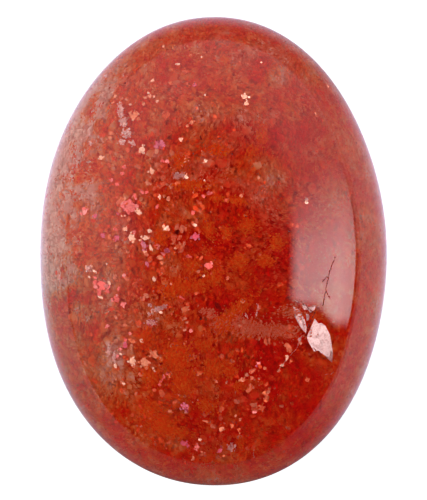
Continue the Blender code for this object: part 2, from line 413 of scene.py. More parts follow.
def within(points, margin):
    """Whether points lie inside the stone, with a margin to its surface."""
    x, y, z = points[..., 0], points[..., 1], points[..., 2]
    wall = GIRDLE_LEAN + np.clip(1.0 - z / GIRDLE_FOOT, 0.0, 1.0) * BEVEL_WIDTH
    return (dome_top(x, y) - z > margin) & (reach(x, y) - np.hypot(x, y) > wall + margin) & (z > margin)


# Camera, and places seen at a pixel


CAMERA_UP = (STONE_MIDDLE_PX[1] + 0.5 - PHOTO_HEIGHT / 2) * PX
CAMERA_RIGHT = -(STONE_MIDDLE_PX[0] + 0.5 - PHOTO_WIDTH / 2) * PX
CAMERA_PLACE = np.array([CAMERA_RIGHT, CAMERA_UP, GIRDLE_TOP + CAMERA_DISTANCE])


def build_camera():
    data = bpy.data.cameras.new("camera")
    data.sensor_width = SENSOR
    data.lens = SENSOR * CAMERA_DISTANCE / (PHOTO_HEIGHT * PX)
    data.clip_start = 10.0 * MM
    data.clip_end = 10.0
    camera = bpy.data.objects.new("camera", data)
    camera.location = CAMERA_PLACE
    bpy.context.scene.collection.objects.link(camera)
    bpy.context.scene.camera = camera


def refracted(ray, normal, facing):
    """The way of a ray inside the stone, from how squarely it meets the polish."""
    ratio = 1.0 / FELDSPAR_INDEX
    return ratio * ray + (ratio * facing - np.sqrt(1.0 - ratio**2 * (1.0 - facing**2))) * normal


def seen_at(px, py, depth):
    """Places inside the stone that show at some pixels, so deep along the refracted rays, and the rays."""
    px, py, depth = np.broadcast_arrays(np.asarray(px, float), np.asarray(py, float), depth)
    at_girdle = np.stack([
        (px + 0.5 - PHOTO_WIDTH / 2) * PX + CAMERA_RIGHT,
        -(py + 0.5 - PHOTO_HEIGHT / 2) * PX + CAMERA_UP,
        np.full(px.shape, GIRDLE_TOP),
    ], -1)
    ray = unit(at_girdle - CAMERA_PLACE)
    along = np.full(px.shape, SEARCH_START * CAMERA_DISTANCE)
    for _ in range(SEARCH_STEPS):
        point = CAMERA_PLACE + ray * along[..., None]
        along = along + SEARCH_SHARE * (point[..., 2] - dome_top(point[..., 0], point[..., 1]))
    point = CAMERA_PLACE + ray * along[..., None]
    normal = dome_normal(point[..., 0], point[..., 1])
    inner = refracted(ray, normal, -(normal * ray).sum(-1, keepdims=True))
    return point + inner * depth[..., None], inner


def toward_light(x, y):
    """The way inside the stone, from under a place of the dome, to the light that a flake can flash."""
    normal = dome_normal(x, y)
    panel = np.broadcast_to(PANEL_WAY, normal.shape)
    facing = (normal * panel).sum(-1, keepdims=True)
    outside = np.where(facing > PANEL_FACING, panel, WALL_WAY)
    facing = np.maximum((normal * outside).sum(-1, keepdims=True), 0.05)
    return -refracted(-outside, normal, facing)


def turned(x, y, across, along, degrees):
    """The pixel that lies so far across and along from another, in a frame turned on the spot."""
    angle = math.radians(degrees)
    x = x + across * math.cos(angle) - along * math.sin(angle)
    y = y - across * math.sin(angle) - along * math.cos(angle)
    return x, y


# Meshes


def new_piece(name, mesh, material, smooth=False):
    """An object that is part of the stone: it rides with it and takes its slot."""
    piece = bpy.data.objects.new(name, mesh)
    bpy.context.scene.collection.objects.link(piece)
    mesh.materials.append(material)
    if smooth:
        mesh.shade_smooth()
    else:
        mesh.shade_flat()
    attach(piece, "root")
    return piece


def mesh_from(name, points, faces):
    """A mesh from an array of points and a list of arrays of faces, each of one face size."""
    mesh = bpy.data.meshes.new(name)
    mesh.vertices.add(len(points))
    mesh.vertices.foreach_set("co", np.asarray(points, np.float32).ravel())
    loops = np.concatenate([f.ravel() for f in faces]).astype(np.int32)
    sizes = np.concatenate([np.full(len(f), f.shape[1]) for f in faces])
    starts = np.concatenate([[0], np.cumsum(sizes)[:-1]]).astype(np.int32)
    mesh.loops.add(len(loops))
    mesh.loops.foreach_set("vertex_index", loops)
    mesh.polygons.add(len(sizes))
    mesh.polygons.foreach_set("loop_start", starts)
    mesh.update(calc_edges=True)
    mesh.validate()
    return mesh


def body_mesh():
    """The whole surface: a dome of rings that gain one facet a sector, a girdle, a bevel and a base."""
    levels = np.arange(1, BODY_RINGS + 1)
    fall = 0.5 * np.pi * levels / BODY_RINGS
    points = [np.array([[0.0, 0.0, HEIGHT]])]
    starts = [0]
    for level, angle in zip(levels, fall):
        x, y = outline(FULL_TURN * np.arange(SECTORS * level) / (SECTORS * level))
        x, y = x * math.sin(angle), y * math.sin(angle)
        z = GIRDLE_TOP + DOME_HEIGHT * math.cos(angle) - hollows(x, y)
        starts.append(starts[-1] + len(points[-1]))
        points.append(np.stack([x, y, z], -1))
    edge = points[-1]
    for height, drawn_in in ((GIRDLE_FOOT, GIRDLE_LEAN), (0.0, GIRDLE_LEAN + BEVEL_WIDTH)):
        inward = 1.0 - drawn_in / np.hypot(edge[:, 0], edge[:, 1])
        starts.append(starts[-1] + len(points[-1]))
        points.append(np.stack([edge[:, 0] * inward, edge[:, 1] * inward, np.full(len(edge), height)], -1))

    triangles = []
    for level in range(BODY_RINGS):
        inner, outer = starts[level], starts[level + 1]
        inner_count, outer_count = max(SECTORS * level, 1), SECTORS * (level + 1)
        for sector in range(SECTORS):
            for i in range(level + 1):
                here = outer + sector * (level + 1) + i
                following = outer + (sector * (level + 1) + i + 1) % outer_count
                above = inner + (sector * level + i) % inner_count
                triangles.append((here, following, above))
                if i < level:
                    triangles.append((above, following, inner + (sector * level + i + 1) % inner_count))
    quads = []
    i = np.arange(SECTORS * BODY_RINGS)
    following = (i + 1) % len(i)
    for upper, lower in ((starts[BODY_RINGS], starts[-2]), (starts[-2], starts[-1])):
        quads.append(np.stack([lower + i, lower + following, upper + following, upper + i], -1))
    base = (starts[-1] + i)[::-1].reshape(1, -1)
    return mesh_from("stone", np.concatenate(points), [np.array(triangles), *quads, base])


def turned_axes(first, normal, angle):
    """Two axes in a flake's plane, turned by some angles from a first one, and its normal."""
    second = np.cross(normal, first)
    angle = angle[:, None]
    turned_first = np.cos(angle) * first + np.sin(angle) * second
    turned_second = np.cos(angle) * second - np.sin(angle) * first
    return turned_first, turned_second, normal


def random_axes(normal):
    first = unit(np.cross(normal, [0.31, 0.87, 0.13]))
    return turned_axes(first, normal, rng.uniform(0.0, FULL_TURN, len(normal)))


def add_cells(mesh, count, local):
    """A map that gives each flake a square of its own, so that its colour can be kept in a picture."""
    side = math.ceil(math.sqrt(count))
    index = np.arange(count)
    corner = np.stack([index % side, index // side], -1)[:, None, :] + 0.5 + 0.42 * local
    places = (corner / side).reshape(-1, 2)
    loops = np.empty(len(mesh.loops), np.int32)
    mesh.loops.foreach_get("vertex_index", loops)
    layer = mesh.uv_layers.new(name="OFBake")
    layer.uv.foreach_set("vector", places[loops].astype(np.float32).ravel())


def closed_shapes(name, points, local, faces):
    """One mesh of many closed shapes with the same faces, from the points of each."""
    count, corners = points.shape[:2]
    offsets = corners * np.arange(count)[:, None, None]
    mesh = mesh_from(name, points.reshape(-1, 3), [(np.array(faces)[None] + offsets).reshape(-1, 3)])
    add_cells(mesh, count, local)
    return mesh


def plates_mesh(name, centres, axes, half_wide, half_tall, flatness, corners=6, unevenness=0.22):
    """Closed lens-shaped plates with uneven corners, one for each centre where one fits in the stone."""
    count = len(centres)
    first, second, normal = axes
    stretch = rng.uniform(1.0 - unevenness, 1.0 + unevenness, (count, corners))
    turns = FULL_TURN * (np.arange(corners) + rng.uniform(-0.22, 0.22, (count, corners))) / corners
    local = np.stack([np.cos(turns) * stretch, np.sin(turns) * stretch], -1)
    rim = (
        centres[:, None]
        + first[:, None] * (local[..., 0] * half_wide[:, None])[..., None]
        + second[:, None] * (local[..., 1] * half_tall[:, None])[..., None]
    )
    thick = (np.minimum(half_wide, half_tall) * flatness)[:, None]
    tips = np.stack([centres + normal * thick, centres - normal * thick], 1)
    points = np.concatenate([rim, tips], 1)
    fits = within(points, SKIN).all(1)
    flat = np.concatenate([local[fits] / (1.0 + unevenness), np.zeros((fits.sum(), 2, 2))], 1)
    faces = []
    for i in range(corners):
        following = (i + 1) % corners
        faces += [(i, following, corners), (following, i, corners + 1)]
    return closed_shapes(name, points[fits], flat, faces)


def slivers_mesh(name, centres, axes, half_wide, half_tall, flatness, margin=SKIN):
    """Closed four-faced slivers, so thin that each is a small four-cornered plate."""
    first, second, normal = axes
    thick = (np.minimum(half_wide, half_tall) * flatness)[:, None, None]
    local = np.array([(1.0, 0.0), (0.0, 1.0), (-1.0, 0.0), (0.0, -1.0)])
    rise = np.array([1.0, -1.0, 1.0, -1.0])[None, :, None]
    points = (
        centres[:, None]
        + first[:, None] * (local[None, :, :1] * half_wide[:, None, None])
        + second[:, None] * (local[None, :, 1:] * half_tall[:, None, None])
        + normal[:, None] * rise * thick
    )
    points = points[within(points, margin).all(1)]
    local = np.broadcast_to(local, (len(points), 4, 2))
    return closed_shapes(name, points, local, [(0, 1, 2), (0, 2, 3), (1, 0, 3), (1, 3, 2)])


def line_mesh(name, chains, half_wide, depth):
    """Thin broken threads of slivers along chains of pixels."""
    centres, firsts, longs = [], [], []
    for chain in chains:
        for start, end in zip(chain, chain[1:]):
            length = math.dist(start, end)
            steps = max(int(length / THREAD_STEP_PX), 1)
            for i in range(steps):
                share = (i + rng.uniform(0.2, 0.8)) / steps
                px = start[0] + share * (end[0] - start[0]) + rng.normal(0.0, 0.25)
                py = start[1] + share * (end[1] - start[1]) + rng.normal(0.0, 0.25)
                centres.append(seen_at(px, py, depth * rng.uniform(0.8, 1.2))[0])
                firsts.append((end[0] - start[0], start[1] - end[1], 0.0))
                longs.append(0.5 * length / steps * rng.uniform(0.9, 1.6) * PX)
    centres = np.array(centres)
    normal = dome_normal(centres[:, 0], centres[:, 1])
    second = unit(np.cross(normal, unit(np.array(firsts))))
    first = np.cross(second, normal)
    wide = half_wide * rng.uniform(0.6, 1.3, len(centres))
    margin = SKIN if depth > SKIN else -3.0 * abs(depth)
    return slivers_mesh(name, centres, (first, second, normal), np.array(longs), wide, 0.1, margin)


def sheet_mesh(name, outlines, depth, thickness, relief):
    """Closed thin sheets with uneven faces inside the stone, from the outlines that they show."""
    shares = (1.0, 0.8, 0.55, 0.3)
    points, faces, before = [], [], 0
    for corners in outlines:
        ring = np.array(corners, float)
        middle = ring.mean(0)
        flat = np.concatenate([middle + share * (ring - middle) for share in shares] + [middle[None]])
        centre, inward = seen_at(middle[0], middle[1], depth)
        facing = unit(toward_light(centre[0], centre[1]) - unit(inward))
        surface, inner = seen_at(flat[:, 0], flat[:, 1], 0.0)
        deep = ((centre - surface) @ facing) / (inner @ facing) + rng.normal(0.0, relief, len(flat))
        upper = surface + inner * np.maximum(deep, 2.0 * SKIN)[:, None]
        points += [upper, upper + unit(inner) * thickness]

        count, total = len(ring), len(flat)
        own = []
        for i in range(count):
            following = (i + 1) % count
            for level in range(len(shares) - 1):
                a, b = level * count + i, level * count + following
                c, d = a + count, b + count
                own += [(a, c, b), (b, c, d)]
                own += [(a + total, b + total, c + total), (b + total, d + total, c + total)]
            a, b = (len(shares) - 1) * count + i, (len(shares) - 1) * count + following
            own += [(a, total - 1, b), (a + total, b + total, 2 * total - 1)]
            own += [(i, following, i + total), (following, following + total, i + total)]
        faces += [tuple(before + corner for corner in face) for face in own]
        before += 2 * total
    return mesh_from(name, np.concatenate(points), [np.array(faces)])


# Materials


class Nodes:
    """The nodes of one material or of the world, under short names."""

    def __init__(self, tree):
        self.tree = tree

    def join(self, value, socket):
        """A value from another node is linked, and a plain one is set."""
        if isinstance(value, bpy.types.NodeSocket):
            self.tree.links.new(value, socket)
        else:
            socket.default_value = value

    def add(self, kind, inputs=(), **settings):
        node = self.tree.nodes.new("ShaderNode" + kind)
        for name, value in settings.items():
            setattr(node, name, value)
        for name, value in dict(inputs).items():
            self.join(value, node.inputs[name])
        return node

    def maths(self, operation, *values):
        return self.add("Math", enumerate(values), operation=operation).outputs[0]

    def line(self, value, slope, start):
        return self.maths("MULTIPLY_ADD", value, slope, start)

    def minus(self, value, less):
        return self.maths("SUBTRACT", value, less)

    def times(self, *values):
        result = values[0]
        for value in values[1:]:
            result = self.maths("MULTIPLY", result, value)
        return result

    def rises(self, value, start, end):
        """0 before the start and 1 past the end, with a soft step between."""
        return self.add("MapRange", {
            "Value": value, "From Min": start, "From Max": end, "To Min": 0.0, "To Max": 1.0,
        }, interpolation_type="SMOOTHSTEP").outputs["Result"]

    def vector(self, operation, *values):
        return self.add("VectorMath", enumerate(values), operation=operation)

    def reach(self, place, shape):
        """How far out a place is: 1 where it is as far as the shape's half sizes."""
        return self.vector("LENGTH", self.vector("DIVIDE", place, shape).outputs[0]).outputs["Value"]

    def split(self, vector):
        return self.add("SeparateXYZ", {"Vector": vector}).outputs

    def place(self):
        return self.add("TexCoord").outputs["Object"]

    def island(self):
        """A random number for each grain or flake."""
        return self.add("NewGeometry").outputs["Random Per Island"]

    def noise(self, place, size, detail=2.0):
        """Cloudy noise whose lumps are about as wide as the size."""
        return self.add("TexNoise", {"Vector": place, "Scale": 1.0 / size, "Detail": detail}).outputs["Fac"]

    def ramp(self, factor, stops):
        node = self.add("ValToRGB", {"Fac": factor})
        elements = node.color_ramp.elements
        while len(elements) < len(stops):
            elements.new(0.5)
        for element, (place, colour) in zip(elements, stops):
            element.position = place
            element.color = (*colour, 1.0)
        return node.outputs["Color"]

    def mix(self, factor, first, second, blend="MIX"):
        node = self.add("Mix", data_type="RGBA", blend_type=blend)
        for value, slot in ((factor, 0), (first, 6), (second, 7)):
            self.join(value, node.inputs[slot])
        return node.outputs[2]


def new_material(name, roughness, specular):
    """A material, its nodes and the inputs of its shader."""
    material = bpy.data.materials.new(name)
    material.use_nodes = True
    inputs = material.node_tree.nodes["Principled BSDF"].inputs
    inputs["Roughness"].default_value = roughness
    inputs["Specular IOR Level"].default_value = specular
    return material, Nodes(material.node_tree), inputs


def range_of(*colours):
    """Colours at even steps from 0 to 1."""
    return list(zip(np.linspace(0.0, 1.0, len(colours)), colours))


def clouds_of(n, place):
    """Coarse, middling and fine clouds, each about 0."""
    sizes = ((2.6 * MM, 2.0), (0.9 * MM, 2.0), (0.34 * MM, 1.0))
    return [n.minus(n.noise(place, size, detail), 0.5) for size, detail in sizes]


def paleness_of(n, place, clouds, base, cloudiness):
    """How pale the stone is at a place: pale at the left, deep red in its heart, and cloudy all over."""
    coarse, middling, fine = clouds
    x, y, _ = n.split(place)
    leftness = n.times(
        n.rises(x, -0.10 * HALF_WIDTH, -0.95 * HALF_WIDTH),
        n.line(n.rises(y, -0.60 * HALF_LENGTH, 0.0), 0.6, 0.4),
    )
    left_edge = n.times(
        n.rises(n.line(middling, 0.55, n.reach(place, FLANK_SHAPE)), 0.72, 0.96),
        n.rises(x, -0.40 * HALF_WIDTH, -0.80 * HALF_WIDTH),
        n.rises(y, -0.44 * HALF_LENGTH, 0.10 * HALF_LENGTH),
    )
    heart = n.rises(n.reach(n.vector("SUBTRACT", place, HEART).outputs[0], HEART_SHAPE), 1.15, 0.45)
    fibres = n.vector("MULTIPLY", place, (1.0, 0.16, 1.0)).outputs[0]
    fibrous = n.minus(n.noise(fibres, 0.30 * MM, 2.0), 0.5)
    on_left = n.line(left_edge, 0.35, n.line(leftness, 0.45, 0.15))
    clouding, paleness = 0.0, base
    for cloud, share in ((n.times(fibrous, on_left), 1.1), (coarse, 0.70), (middling, 0.85), (fine, 0.45)):
        clouding = n.line(cloud, share * cloudiness, clouding)
    for amount, share in ((leftness, 0.17), (left_edge, 0.70), (heart, -0.24)):
        paleness = n.line(amount, share, paleness)
    calm = n.line(left_edge, -0.65, 1.0)
    return n.line(clouding, calm, paleness)


def with_patches(n, place, ragged, paleness):
    """The paleness with the soft pale and deep patches that show singly in the photograph."""
    for x, y, wide, tall, turn, strength in PATCHES_PX:
        middle, _ = seen_at(x, y, PATCH_DEPTH)
        local = n.add("Mapping", {
            "Vector": place,
            "Location": middle,
            "Rotation": (0.0, 0.0, math.radians(turn)),
            "Scale": (0.5 * wide * PX, 0.5 * tall * PX, PATCH_HEIGHT),
        }, vector_type="TEXTURE").outputs[0]
        away = n.vector("LENGTH", local).outputs["Value"]
        paleness = n.line(n.rises(n.line(ragged, 1.6, away), 1.2, 0.5), strength, paleness)
    return paleness


def stone_colour(n, place, paleness):
    """Orange-red to salmon or pink, as the paleness and a slow change of hue have it."""
    pinkish, orange = (n.ramp(paleness, range_of(*colours)) for colours in (PINKISH, ORANGE))
    x, y, _ = n.split(place)
    low = n.rises(y, 0.2 * HALF_LENGTH, -0.5 * HALF_LENGTH)
    left = n.rises(x, 0.2 * HALF_WIDTH, -0.6 * HALF_WIDTH)
    hue = n.line(left, 0.09, n.line(low, 0.14, n.noise(place, 1.5 * MM, 2.0)))
    return n.mix(n.rises(hue, 0.40, 0.60), pinkish, orange)


def feldspar_material():
    material, n, inputs = new_material("feldspar", 0.02, 0.5)
    place = n.place()
    n.join(n.ramp(paleness_of(n, place, clouds_of(n, place), 0.5, 1.0), (
        (0.30, (1.00, 0.90, 0.86)),
        (0.70, (1.00, 0.98, 0.96)),
    )), inputs["Base Color"])
    inputs["IOR"].default_value = FELDSPAR_INDEX
    inputs["Transmission Weight"].default_value = 1.0
    absorption = n.add("VolumeAbsorption", {"Color": (0.995, 0.55, 0.30, 1.0), "Density": 160.0})
    n.join(absorption.outputs["Volume"], n.tree.nodes["Material Output"].inputs["Volume"])
    return material


def grain_material(name, base, variety, shaded, roughness, specular):
    """The stone's own colours, each grain a little different; if shaded, painted shade on the lower left."""
    material, n, inputs = new_material(name, roughness, specular)
    place = n.place()
    clouds = clouds_of(n, place)
    paleness = n.line(n.island(), variety, paleness_of(n, place, clouds, base, 1.4))
    colour = stone_colour(n, place, with_patches(n, place, clouds[1], paleness))
    if shaded:
        shade = n.mix(n.rises(clouds[2], -0.10, 0.06), (0.92, 0.86, 0.86, 1.0), WHITE)
        colour = n.mix(1.0, colour, shade, "MULTIPLY")
        # Painted shade: the red of the lower left flank is darkened, standing in for less light there
        x, y, _ = n.split(place)
        dull = n.times(
            n.rises(x, -0.40 * HALF_WIDTH, -0.80 * HALF_WIDTH),
            n.rises(y, 0.15 * HALF_LENGTH, -0.25 * HALF_LENGTH),
        )
        colour = n.mix(dull, colour, (0.89, 1.0, 1.0, 1.0), "MULTIPLY")
    n.join(colour, inputs["Base Color"])
    return material


def flake_material(name, stops, metallic, roughness, dull=(0.80, 0.68, 0.68)):
    """One colour for each flake, out of a range, with a little cloudiness over it."""
    material, n, inputs = new_material(name, roughness, 0.0)
    cloud = n.ramp(n.noise(n.place(), 0.07 * MM, 3.0), ((0.38, dull), (0.56, WHITE[:3])))
    n.join(n.mix(1.0, n.ramp(n.island(), stops), cloud, "MULTIPLY"), inputs["Base Color"])
    inputs["Metallic"].default_value = metallic
    return material


# The studio: a dark room with a tall panel at the right and soft walls around


def build_world():
    world = bpy.data.worlds.new("studio")
    bpy.context.scene.world = world
    world.use_nodes = True
    n = Nodes(world.node_tree)
    x, y, z = n.split(n.add("TexCoord").outputs["Generated"])
    degrees = 180.0 / math.pi
    elevation = n.times(n.maths("ARCSINE", z), degrees)
    azimuth = n.times(n.maths("ARCTAN2", y, x), degrees)

    # The panel at the right: its near edge stands at about -17 degrees, and it fades as it runs away
    near_edge = n.line(n.rises(elevation, 50.0, 36.0), 2.3, -16.7)
    near_edge = n.line(n.rises(elevation, 34.0, 21.0), -1.6, near_edge)
    near_edge = n.line(n.rises(elevation, 19.0, 10.0), 1.0, near_edge)
    panel = n.times(
        n.rises(n.minus(azimuth, near_edge), -2.0, 2.6),
        n.rises(azimuth, 27.0, -8.0),
        n.line(n.rises(elevation, 52.0, 12.0), 0.3, 0.8),
        n.line(n.rises(elevation, 24.0, 7.0), -0.32, 1.0),
        n.rises(elevation, 5.6, 7.0),
        n.rises(elevation, 56.0, 49.0),
        PANEL_LIGHT,
    )
    # The wall beyond it, the wall at the left, and a low glow at the right
    foot = n.rises(elevation, -2.0, 4.0)
    far = n.times(n.rises(azimuth, -10.0, 30.0), n.rises(elevation, 66.0, 34.0), foot, 0.85)
    left = n.times(n.rises(azimuth, -135.0, -175.0), n.rises(elevation, 68.0, 30.0), foot, 0.8)
    low = n.times(n.rises(elevation, 4.2, 2.8), n.rises(x, 0.3, 0.9), 0.45)
    mirrored = ROOM_LIGHT
    for light in (panel, far, left, low):
        mirrored = n.maths("ADD", light, mirrored)

    # Soft light that reaches the haze but isn't mirrored by the polish
    sideways = n.maths("MAXIMUM", n.line(y, n.line(x, -3.2, 1.4), n.line(x, -4.2, 0.6)), 0.0)
    sideways = n.line(n.rises(y, 0.1, -0.8), 0.5, sideways)
    soft = n.line(sideways, SOFT_LIGHT, mirrored)
    rays = n.add("LightPath").outputs
    from_stone = rays["Is Transmission Ray"]
    mirrors = n.times(rays["Is Glossy Ray"], n.minus(1.0, from_stone))
    taken = n.line(y, TAKEN_IN[1], n.times(x, TAKEN_IN[0]))
    shed = n.times(soft, n.line(from_stone, taken, 1.0))
    seen = n.line(mirrors, n.minus(mirrored, shed), shed)
    background = n.tree.nodes["Background"].inputs
    n.join(n.maths("MAXIMUM", seen, rays["Is Camera Ray"]), background["Strength"])
    background["Color"].default_value = WHITE


def build_floor():
    size = FLOOR_SIZE
    corners = [(-size, -size, 0.0), (size, -size, 0.0), (size, size, 0.0), (-size, size, 0.0)]
    mesh = bpy.data.meshes.new("floor")
    mesh.from_pydata(corners, [], [(0, 1, 2, 3)])
    floor = bpy.data.objects.new("floor", mesh)
    floor.location.z = FLOOR_Z
    bpy.context.scene.collection.objects.link(floor)
    material, n, inputs = new_material("paper", 0.9, 0.0)
    rays = n.add("LightPath").outputs
    camera_ray = rays["Is Camera Ray"]
    from_stone = rays["Is Transmission Ray"]

    # Painted light on the paper's colour: brightest at the right, where the panel lights it, a little
    # brighter at the left, and painted shade towards -Y. Seen through the stone it is a plain 0.85
    place = n.place()
    x, y, _ = n.split(n.vector("NORMALIZE", place).outputs[0])
    lit = n.rises(x, 0.50, 1.0)
    pale = n.line(n.rises(x, -0.2, -1.0), 0.36, n.times(lit, 0.5))
    pale = n.line(y, 0.02, n.maths("ADD", pale, 0.30))
    n.join(n.maths("MAXIMUM", pale, n.times(from_stone, 0.85)), inputs["Base Color"])

    # Painted light: the paper glows for rays that the polish mirrors, though it is no lamp. The glow is
    # brightest at the right and at the left, with a painted cool glow close around the stone that is
    # stronger to its upper left. The camera sees the paper evenly white
    outness = n.reach(place, FLANK_SHAPE)
    painted_glow_upper_left = n.rises(n.minus(y, x), 0.2, 1.2)
    painted_light_left = n.times(n.rises(x, -0.3, -1.0), n.rises(y, -0.9, -0.4))
    near = n.times(n.rises(outness, 1.5, 1.0), n.rises(y, -1.0, -0.7), n.line(painted_glow_upper_left, 0.30, 0.54))
    mirrored = n.times(
        n.line(lit, 0.45, n.line(painted_light_left, 0.5, near)),
        rays["Is Glossy Ray"],
        n.minus(1.0, from_stone),
    )
    # Painted cool colour of the glow close around the stone
    painted_glow_tint = n.mix(n.rises(outness, 1.0, 1.6), (0.74, 0.70, 1.0, 1.0), WHITE)
    n.join(n.mix(camera_ray, painted_glow_tint, WHITE), inputs["Emission Color"])
    n.join(n.maths("MAXIMUM", camera_ray, mirrored), inputs["Emission Strength"])
    mesh.materials.append(material)


# Where the inclusions lie


def swirl(size, waves=28):
    """A smooth random field of about unit strength, whose lumps are about as wide as the size."""
    ways = unit(rng.normal(0.0, 1.0, (waves, 3))) * (np.pi / size)
    ways *= rng.uniform(0.5, 1.6, (waves, 1))
    phases = rng.uniform(0.0, FULL_TURN, waves)
    return lambda x, y, z: np.cos(np.stack([x, y, z], -1) @ ways.T + phases).sum(-1) * math.sqrt(2.0 / waves)


def depth_under(x, y, z):
    """Distance to the polished surface, from a place inside the stone."""
    below_top = np.maximum(dome_top(x, y) - z, 1e-9)
    level = np.clip((z - GIRDLE_TOP) / DOME_HEIGHT, 0.0, 1.0)
    sideways = np.maximum(reach(x, y) * np.sqrt(1.0 - level**2) - np.hypot(x, y), 1e-9)
    return below_top * sideways / np.hypot(below_top, sideways)


def scatter(count, weight):
    """Random places inside the stone, kept in proportion to a weight of their x, y, z and depth."""
    kept = np.zeros((0, 3))
    while len(kept) < count:
        tries = 6 * count
        x = rng.uniform(-HALF_WIDTH, HALF_WIDTH, tries)
        y = rng.uniform(-HALF_LENGTH, HALF_LENGTH, tries)
        z = rng.uniform(0.0, HEIGHT, tries)
        inside = within(np.stack([x, y, z], -1), 2.0 * SKIN)
        x, y, z = x[inside], y[inside], z[inside]
        keep = rng.uniform(0.0, 1.0, len(x)) < weight(x, y, z, depth_under(x, y, z))
        kept = np.concatenate([kept, np.stack([x, y, z], -1)[keep]])
    return kept[:count]


def soft_step(values, start, end):
    share = np.clip((values - start) / (end - start), 0.0, 1.0)
    return share * share * (3.0 - 2.0 * share)


def band(depth, *levels):
    """1 between two depths, with soft steps up to it and down from it, all in millimetres."""
    first, full, going, gone = (level * MM for level in levels)
    return soft_step(depth, first, full) * soft_step(depth, gone, going)


def cloudy(x, y, z):
    return np.clip(0.50 + 0.16 * lumps(x, y, z) + 0.12 * streaks(x, y, z), 0.05, 1.0)


def in_the_clear(x, y, depth):
    """0 over the crack and over large flakes, where the crystal is clear, and 1 elsewhere."""
    from_crack = np.hypot((x - CRACK_MIDDLE[0]) / CRACK_SLENDERNESS, y - CRACK_MIDDLE[1])
    kept = soft_step(from_crack, *CLEAR_REACH)
    for (flake_x, flake_y, _), radius in zip(LARGE_PLACES, LARGE_REACH):
        over = soft_step(np.hypot(x - flake_x, y - flake_y), 1.25 * radius, 0.85 * radius)
        kept = kept * (1.0 - over * soft_step(depth, 0.50 * MM, 0.42 * MM))
    return kept


def in_ground(x, y, z, depth):
    return band(depth, 0.70, 0.9, 1.2, 1.7)


def in_clouds(x, y, z, depth):
    return band(depth, 0.35, 0.7, 0.9, 1.2) * in_the_clear(x, y, depth)


def in_wisps(x, y, z, depth):
    return cloudy(x, y, z) * band(depth, 0.10, 0.4, 0.5, 0.8) * in_the_clear(x, y, depth)


def in_crumbs(x, y, z, depth):
    """Thickest at the left and low down, between the haze and the polish."""
    thick = 0.35 + 0.65 * soft_step(-x, -3.0 * MM, 3.5 * MM) + 0.5 * soft_step(-y, 1.0 * MM, 6.0 * MM)
    near = band(depth, 0.22, 0.4, 0.6, 0.9)
    return np.clip(thick, 0.0, 1.0) * cloudy(x, y, z) * near * in_the_clear(x, y, depth)


def glitter(x, y, z, depth):
    """Thickest in the left and in the lower middle, and in clumps."""
    left_middle = np.exp(-(((x + 2.8 * MM) / (2.7 * MM)) ** 2) - ((y - 0.8 * MM) / (4.2 * MM)) ** 2)
    low_middle = np.exp(-(((x + 1.0 * MM) / (3.2 * MM)) ** 2) - ((y + 5.8 * MM) / (2.9 * MM)) ** 2)
    clumps = np.clip(0.45 + 0.6 * streaks(x, y, z), 0.02, 1.0)
    rare = 0.03 * soft_step(x, -5.4 * MM, -3.4 * MM)
    near = band(depth, 0.06, 0.2, 0.3, 0.7)
    return np.clip(rare + left_middle + 0.8 * low_middle, 0.0, 1.0) * near * clumps


def flashing_normals(places, inner, spread):
    """Normals of flakes that mirror the light up to the camera, more or less exactly."""
    halfway = unit(toward_light(places[:, 0], places[:, 1]) - unit(inner))
    return unit(halfway + rng.normal(0.0, spread, halfway.shape))


# Pieces of many kinds


def grain_mesh(name, places, low_size, high_size, stretch, spread):
    """Slivers that lie along the dome and are drawn out along a slowly turning grain."""
    count = len(places)
    sizes = rng.uniform(low_size, high_size, count)
    longer = sizes * rng.uniform(1.0, stretch, count)
    normal = unit(dome_normal(0.9 * places[:, 0], 0.9 * places[:, 1]) + rng.normal(0.0, spread, (count, 3)))
    turn = 0.9 * grain(places[:, 0], places[:, 1], places[:, 2]) + rng.normal(0.0, 0.35, count)
    along = np.stack([np.sin(turn), np.cos(turn), np.zeros(count)], -1)
    second = unit(np.cross(normal, along))
    first = np.cross(second, normal)
    return slivers_mesh(name, places, (first, second, normal), longer, sizes, 0.05)


def random_depths(depths, count):
    """Depths in metres, out of a range in millimetres."""
    return rng.uniform(depths[0] * MM, depths[1] * MM, count)


def flashing_mesh(name, px, py, depth, wide, tall, angles, spread, flatness, corners):
    """Plates at some pixels, with half sizes in metres, turned so that they mirror the light."""
    centres, inner = seen_at(px, py, depth)
    normal = flashing_normals(centres, inner, spread)
    axes = turned_axes(unit(np.cross([0.0, 1.0, 0.0], normal)), normal, angles)
    return plates_mesh(name, centres, axes, wide, tall, flatness, corners, 0.30)


def clusters(entries):
    """Each large flake becomes a main plate with smaller ones round it."""
    pieces = []
    for x, y, wide, tall, turn in entries:
        around = min(int(round(wide * tall / CLUSTER_AREA_PX)), CLUSTER_LIMIT)
        share = 1.05 if around < 2 else 0.9
        pieces.append((x, y, wide * share, tall * share, turn))
        for _ in range(around):
            away, way = rng.uniform(0.40, 0.62), rng.uniform(0.0, FULL_TURN)
            place = turned(x, y, away * wide * math.cos(way), away * tall * math.sin(way), turn)
            size = rng.uniform(0.22, 0.42) * min(wide, tall)
            pieces.append((*place, size * rng.uniform(0.8, 1.7), size, rng.uniform(0.0, 180.0)))
    return pieces


def placed_flakes(name, entries, depths, material, spread):
    """Flakes at their pixels in the photograph, at random shallow depths, and deeper the larger they are."""
    px, py, wide, tall, turn = np.array(entries).T
    depth = random_depths(depths, len(px)) + 0.25 * np.maximum(wide, tall) * PX
    wide, tall = 0.5 * wide * PX, 0.5 * tall * PX
    mesh = flashing_mesh(name, px, py, depth, wide, tall, np.radians(turn), spread, FLAKE_FLATNESS, 7)
    return new_piece(name, mesh, material)


